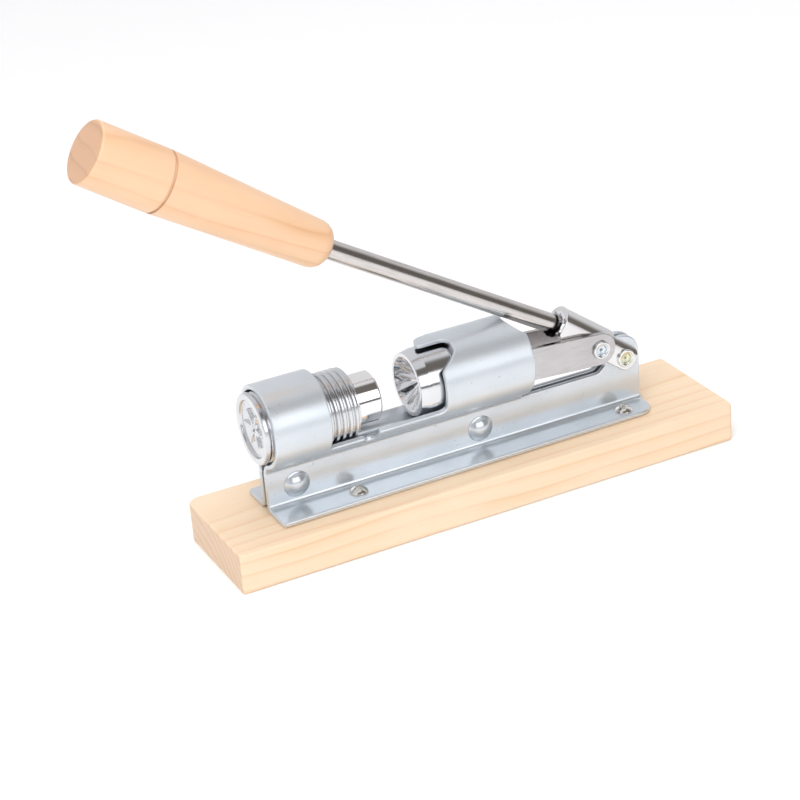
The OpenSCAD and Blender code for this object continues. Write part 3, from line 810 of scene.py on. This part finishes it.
# ---------------------------------------------------------------- anvil screw: a true helix
def thread_surface(x0, x1, crest, root, pitch, seg):
    """Right-hand thread about X as a sheared grid whose rows follow the helix; it runs out at both ends."""
    rows = 12
    turns = int((x1 - x0) / pitch) + 3
    total = turns * rows

    def radius(k, x):
        t = (k % rows) / rows
        wave = min(1.0, max(0.0, (abs(t - 0.5) * 2 - 0.22) / 0.42))
        r = root + (crest - root) * wave * wave * (3 - 2 * wave)
        end = min(x - x0, x1 - x)
        return min(r, root + max(0.0, end) * 1.1)

    verts = []
    for j in range(seg):
        a = TAU * j / seg
        for k in range(total + 1):
            x = min(x1, max(x0, x0 + pitch * (k / rows + j / seg - 1)))
            r = radius(k, x)
            verts.append((x, r * math.cos(a), r * math.sin(a)))
    faces = quads(seg, total + 1, closed=False, around=False)
    last = (seg - 1) * (total + 1)
    faces += [(last + k, last + k + 1, k + rows + 1, k + rows) for k in range(total - rows)]
    obj = new_object("thread", verts, faces)
    obj.data.transform(AXIS)
    return obj


def anvil_screw():
    """Threaded anvil with a dished face for a square key, and a bore for the nose's stem behind."""
    seg, crest, root, pitch = 180, 16.2, 15.0, 3.0
    x_face, x0, x1, bore_x, bore_r = -101.7, -98.7, -56.05, -73.0, 6.1
    dish, dish_r, boss, socket, rib = 1.3, 12.2, 2.75, 1.4, 0.95

    def face(x, r, a):
        """Raised ribs round a square boss with a square socket, on the floor of the dish."""
        if r > dish_r or abs(x - dish) > 0.3:
            return x, r
        square = max(abs(r * math.cos(a)), abs(r * math.sin(a)))
        spoke = (a + TAU / 12) % (TAU / 6) - TAU / 12
        across = r * abs(math.sin(spoke)) if r < 9 else 99.0
        high = max(min(1.0, (rib - across) / 0.3), min(1.0, (boss - square) / 0.3), 0.0)
        floor = x + 0.09 * (dish_r - r)
        if square < socket:
            return floor + min(1.0, (socket - square) / 0.2) * 3.5 - 1.0, r
        return floor - 1.05 * high, r

    front = AXIS @ Matrix.Translation((x_face * MM, 0, 0))
    corners = [(dish, 0), (dish, dish_r + 0.5, 0.4), (0.05, dish_r + 1, 0.3), (0, 15.8, 0.3),
               (0.5, crest, 0.3), (2.0, crest, 0.3), (x0 - x_face, root)]
    head = turned("face", corners, front, seg, face, long_step=0.3)
    thread = thread_surface(x0, x1, crest, root, pitch, seg)
    tail = turned("tail", [(x1, root), (x1, bore_r), (bore_x, bore_r), (bore_x, 0)], AXIS, seg)
    return flat_wins(clean(join("anvil_screw_body", [head, thread, tail]), 0.004), 20)


piece(anvil_screw(), "anvil_turn", "zinc", "anvil_screw")


# ---------------------------------------------------------------- fasteners
UP = Matrix.Rotation(-math.pi / 2, 4, "Y")
ALONG_Y = Matrix.Rotation(math.pi / 2, 4, "Z")


def wood_screws():
    """Pan heads with cross recesses, each turned its own way."""
    head_r, head_h, shank_r, length = 4.4, 2.6, 2.0, 15.5
    ball = (head_r ** 2 + head_h ** 2) / (2 * head_h)
    top = [(head_h - ball + ball * math.cos(t), ball * math.sin(t))
           for t in np.linspace(0, math.asin(head_r / ball) * 0.93, 30)]
    corners = top + [(0.45, head_r, 0.3), (0, head_r - 0.1, 0.1), (0, shank_r), (2.5 - length, shank_r),
                     (-length, 0.4), (-length, 0)]

    def recess(x, r, a):
        if x < 0.8 or r > 3.0:
            return x, r
        off_cross = min(abs(r * math.cos(a)), abs(r * math.sin(a)))
        wide = max(0.0, min(1.0, (0.72 - 0.10 * r - off_cross) / 0.16))
        deep = wide * max(0.0, min(1.0, (2.55 - r) / 0.25))
        return x - deep * (1.75 - 0.35 * r), r

    heads = []
    for x in SCREW_X:
        for s in (-1, 1):
            spin = Matrix.Rotation(math.radians(20 + 37 * s + x), 4, "Z")
            matrix = mm_matrix((x, s * SCREW_Y, FLANGE_TOP)) @ spin @ UP
            heads.append(turned("screw", corners, matrix, 96, recess, long_step=0.35))
    return flat_wins(join("wood_screw_set", heads))


def dome_rivets():
    """Rivets through both webs, domed on either side, with paint gathered round their feet."""
    r, h, web = 5.8, 3.0, WEB_IN + SHEET
    ball = (r ** 2 + h ** 2) / (2 * h)
    half = [(web + h - ball + ball * math.cos(t), ball * math.sin(t))
            for t in np.linspace(0, math.asin(r / ball), 16)[:-1]]
    half += [(web + 0.22, r + 0.12, 0.5), (web - 0.05, r + 0.45), (web - 0.05, 2.5)]
    corners = half + [(-x, *rest) for x, *rest in half[::-1]]
    rivets = [turned("rivet", corners, mm_matrix((x, 0, RIVET_Z)) @ ALONG_Y, 64) for x in RIVET_X]
    return flat_wins(join("dome_rivet_set", rivets))


def hollow_rivet(name, half, x, z):
    """Rivet on a Y axis between webs or links: rolled heads, each round a nearly closed six-sided recess."""
    head = half + 1.3
    rim_r, head_r, body_r = 3.3, 4.3, 3.0

    def six_sided(px, r, a):
        if r > 2.7:
            return px, r
        t = (a % (TAU / 6)) - TAU / 12
        return px, r * (0.3 + 0.7 * math.cos(TAU / 12) / math.cos(t))

    side = [(head - 1.3, 0.3), (head - 1.15, 1.2, 0.3), (head - 0.95, 2.3, 0.2), (head - 0.4, 2.65, 0.1),
            (head - 0.25, 3.1, 0.15), (head, rim_r, 0.2), (head, head_r, 0.7), (half, head_r, 0.15),
            (half, body_r)]
    corners = side + [(-px, *rest) for px, *rest in side[::-1]]
    matrix = mm_matrix((x, 0, z)) @ ALONG_Y
    return flat_wins(turned(name, corners, matrix, 72, six_sided, closed=True), 20)


piece(wood_screws(), "frame", "bright_nickel", "wood_screws")
piece(dome_rivets(), "frame", "rail_paint", "rail_rivets")
piece(hollow_rivet("pivot_rivet_body", 7.2, *PIVOT), "lever", "yellow_zinc", "pivot_rivet")
piece(hollow_rivet("link_rivet_body", 10.05, *LINK_PIN), "lever", "blue_zinc", "link_rivet")


# ---------------------------------------------------------------- links
def link(name, side):
    """Flat bar with round ends, from the link pivot to the plunger's pin."""
    end_r, pin_r, half, bar_y = 7.75, 5.2, 1.2, 8.7
    length = math.dist(LINK_PIN, PLUNGER_PIN)
    slope = math.asin((PLUNGER_PIN[1] - LINK_PIN[1]) / length)
    along, up = (math.cos(slope), 0, -math.sin(slope)), (math.sin(slope), 0, math.cos(slope))
    loops = [spaced(arc(0, 0, end_r, -90, 90, 6) + arc(-length, 0, end_r, 90, 270, 6), 3, 3),
             round_hole(0, 0, PIN_HOLE_R), round_hole(-length, 0, pin_r, 48)]
    place = flat_place((LINK_PIN[0], side * bar_y, LINK_PIN[1]), along, up)
    return plate(name, loops, half, 0.35, place, np.arange(-length, 1, 4), np.arange(-6, 7, 3))


piece(link("link_bar_near", -1), "link", "warm_nickel", "link_near")
piece(link("link_bar_far", 1), "link", "warm_nickel", "link_far")


# ---------------------------------------------------------------- lever
def yoke():
    """Sheet bent over into a channel, with its roof cut out round the pivot."""
    bend, roof, low = 5.9, 0.9, -5.6
    quarter = bend * math.pi / 2
    leg = quarter + roof
    matrix = on_lever(YOKE_TURN)
    turn = np.array(matrix.to_3x3())
    move = np.array(matrix.translation) / MM

    def place(p):
        x, v = p[:, 0], p[:, 1]
        s = np.where(v < 0, -1.0, 1.0)
        w = np.abs(v)
        a = np.minimum(w, quarter) / bend
        drop = np.maximum(w - quarter, 0)
        zero, one = np.zeros(len(p)), np.ones(len(p))
        pos = np.stack([x, s * bend * np.sin(a), roof + bend * np.cos(a) - drop], 1)
        n = np.stack([zero, s * np.sin(a), np.cos(a)], 1)
        tv = np.stack([zero, np.cos(a), -s * np.sin(a)], 1)
        tu = np.stack([one, zero, zero], 1)
        return pos @ turn.T + move, tu @ turn.T, tv @ turn.T, n @ turn.T

    half, ear, root = 1.3, 4.3, quarter + 0.2
    v1 = leg - low

    def slide(p):
        """Back-face points of the cut-out, moved so that the cut is a plane beside the webs."""
        v = np.abs(p[:, 1])
        cut = np.where(v < ear, v * quarter / ear, root + (v - ear) * (leg - root) / (leg - ear))
        cut = np.where(v > leg, v, cut)
        t = np.clip((p[:, 0] + 18) / 8, 0, 1)
        return np.stack([p[:, 0], np.sign(p[:, 1]) * (v + t * (cut - v))], 1)

    near = [(-39.5, -v1, 3), (6.3, -v1, 5), (6.3, -ear, 3.5), (-10, -ear, 2)]
    corners = near + [(x, -v, r) for x, v, r in near[::-1]]
    loops = [spaced(filleted(corners, step=8), 1.6, 0.6)]
    for s in (-1, 1):
        loops += [round_hole(x, s * (leg + down), 3.0) for x, down in ((0, 0), (-16.95, 1.33))]
    us, vs = np.arange(-38, 6, 2), np.arange(-v1 + 1, v1, 0.8)
    return plate("yoke", loops, half, 0.45, place, us, vs, slide=slide)


def drip(x, y, z, size):
    """Lumpy ball of burnt metal."""
    rows, cols = 12, 20
    verts = [(x, y, z + size), (x, y, z - size)]
    for i in range(1, rows):
        t = math.pi * i / rows
        for k in range(cols):
            p = TAU * k / cols
            n = Vector((math.sin(t) * math.cos(p), math.sin(t) * math.sin(p), math.cos(t)))
            r = size * (1 + 0.35 * noise.noise(n * 1.6 + Vector((x, y, z))))
            verts.append((x + r * n.x, y + r * n.y, z + 0.8 * r * n.z))
    faces = [(0, 2 + k, 2 + (k + 1) % cols) for k in range(cols)]
    faces += [(2 + a, 2 + d, 2 + c, 2 + b) for a, b, c, d in quads(rows - 1, cols, around=False)]
    last = 2 + (rows - 2) * cols
    faces += [(1, last + (k + 1) % cols, last + k) for k in range(cols)]
    return new_object("drip", verts, faces)


def weld():
    """Bead inside the yoke's mouth, set back under the roof, with drips of burnt metal at its foot."""
    seg, tube = 96, 20
    ring_r, bead_r, drawn_in, set_back = 5.6, 1.35, 0.7, 1.3
    verts = []
    for i in range(seg):
        a = TAU * i / seg
        c, d = math.cos(a), math.sin(a)
        roof = max(0.0, c)
        ripple = 0.10 * math.sin(13 * a) + 0.07 * math.sin(29 * a + 1.3)
        r = bead_r + ripple + 0.25 * noise.noise(Vector((2.2 * c, 2.2 * d, 0.7)))
        ring = ring_r - drawn_in * roof + 0.2 * noise.noise(Vector((1.5 * c, 1.5 * d, 4.0)))
        back = set_back * roof + 0.3 * noise.noise(Vector((3 * c, 3 * d, 9.0)))
        for k in range(tube):
            b = TAU * k / tube
            lump = r * (1 + 0.06 * noise.noise(Vector((4 * c + math.cos(b), 4 * d, 2 * math.sin(b)))))
            rho = ring + lump * math.cos(b)
            verts.append((back + lump * math.sin(b) * 1.05, rho * d, rho * c))
    parts = [new_object("weld_bead", verts, quads(seg, tube))]
    for place in ((-1.2, -2.6, -5.0, 1.3), (-2.2, -3.3, -5.3, 0.9), (-2.9, -2.2, -5.2, 0.7),
                  (-0.9, -0.4, -5.6, 1.4), (-1.0, 2.4, -5.2, 1.1), (-1.9, 0.8, -5.6, 0.8)):
        parts.append(drip(*place))
    obj = join("weld_bead", parts)
    obj.data.transform(on_lever(YOKE_TURN, (-39.7, 0, -0.3)))
    return clean(obj)


def handle():
    """Turned handle with a round nose and one cut ring, tilted a little from the rod."""
    nose_r, nose_y, start_y = 7, 3.6, 4.5
    length, end_r, ring_x, ring_w, ring_r = 119.0, 13.7, 84.0, 0.95, 12.95
    nose_end = [(nose_r * (1 - math.cos(t)), nose_y + nose_r * math.sin(t))
                for t in np.linspace(math.asin((start_y - nose_y) / nose_r), math.pi / 2, 14)]
    corners = [(8.0, 0), (8.0, start_y)] + nose_end + [
        (ring_x - 0.25, 13.88, 0.2), (ring_x, ring_r, 0.15), (ring_x + ring_w, ring_r, 0.15),
        (ring_x + ring_w + 0.25, 13.9, 0.25), (length, end_r, 1.1), (length, 0)]
    tilt = Matrix.Rotation(math.radians(HANDLE_TILT), 4, "Y") @ Matrix.Rotation(math.pi, 4, "Z")
    matrix = on_lever(ROD_TURN, (-166.0, 0, 3.2)) @ tilt
    return flat_wins(turned("handle_body", corners, matrix, 128, long_step=4.0))


piece(yoke(), "lever", "chrome", "lever_yoke", material="yoke_chrome")
piece(weld(), "lever", "chrome", "yoke_weld", material="weld")
piece(handle(), "lever", "beech", "handle")


# ---------------------------------------------------------------- stage
def studio_floor():
    """White floor far wider than the picture, just under the board."""
    edge = 4000
    corners = [(-edge, -edge, 0), (edge, -edge, 0), (edge, edge, 0), (-edge, edge, 0)]
    floor = new_object("floor", corners, [(0, 1, 2, 3)])
    n = Finish("floor")
    n.set(Roughness=0.6, Emission_Strength=0.07)
    patches = n.span(n.noise(n.coords(), 3, 2), 0.3, 0.7, 0, 1)
    n.to("Base Color", n.mix(patches, (0.93, 0.93, 0.93), (0.94, 0.94, 0.94)))
    floor.data.materials.append(n.mat)
    floor.location.z = -0.0003


def studio_world():
    """Pale surroundings, with a dark wall in front and a bright window in it for the metal to reflect."""
    world = bpy.data.worlds.new("studio")
    world.use_nodes = True
    sky = Nodes(world.node_tree)
    background = sky.tree.nodes["Background"]
    x, y, z = sky.axes(sky.add("ShaderNodeTexCoord").outputs["Generated"])
    bearing = sky.math("ARCTAN2", x, sky.math("MULTIPLY", y, -1.0))
    height = sky.math("ARCSINE", z)

    def band(angle, stops):
        """Piecewise linear curve of an angle, with stops in degrees."""
        low, high = stops[0][0], stops[-1][0]
        share = sky.span(angle, math.radians(low), math.radians(high), 0, 1)
        return sky.ramp(share, [((a - low) / (high - low), level) for a, level in stops])

    grey, dark, bright = (0.80, 0.80, 0.82), (0.17, 0.155, 0.14), (2.3, 2.3, 2.35)
    wall = sky.math("MULTIPLY", band(bearing, [(-60, 0), (-30, 1), (70, 1), (95, 0)]),
                    band(height, [(-20, 1), (64, 1), (68, 0), (90, 0)]))
    window = sky.math("MULTIPLY", band(bearing, [(-30, 0), (-22, 1), (29, 1), (33, 0)]),
                      band(height, [(6, 0), (9, 1), (37, 1), (44, 0)]))
    sky.link(sky.mix(window, sky.mix(wall, grey, dark), bright), background.inputs[0])
    background.inputs[1].default_value = 1.0
    bpy.context.scene.world = world
    bpy.context.scene.view_settings.view_transform = "Standard"


def softbox(name, where, target, size, power):
    """Area light that lights the object without being seen in its metal."""
    light = bpy.data.lights.new(name, "AREA")
    light.shape = "RECTANGLE"
    light.size, light.size_y = size
    light.energy = power
    obj = add_object(name, light)
    obj.location = Vector(where)
    obj.rotation_euler = (Vector(target) - Vector(where)).to_track_quat("-Z", "Y").to_euler()
    obj.visible_glossy = False


studio_floor()
studio_world()
softbox("key", (-0.55, -0.55, 0.85), (-0.05, 0, 0.03), (0.5, 0.5), 4.5)
softbox("top", (0.0, -0.1, 1.6), (0, 0, 0.05), (1.4, 1.0), 8)


def camera():
    """Front view from the left and above, rolled a little."""
    lens, sensor, roll = 104.0, 36, math.radians(-4.76)
    place, right, back = (-0.4155, -0.8323, 0.5035), (0.9075, -0.4201, 0), (-0.377, -0.8145, 0.4409)
    cam = bpy.data.cameras.new("camera")
    cam.lens = lens
    cam.sensor_width = sensor
    cam.clip_end = 50
    right, back = Vector(right), Vector(back).normalized()
    up = back.cross(right)
    axes = (right * math.cos(roll) + up * math.sin(roll), up * math.cos(roll) - right * math.sin(roll), back)
    obj = add_object("camera", cam)
    obj.matrix_world = Matrix.Translation(place) @ Matrix(axes).transposed().to_4x4()
    bpy.context.scene.camera = obj


camera()
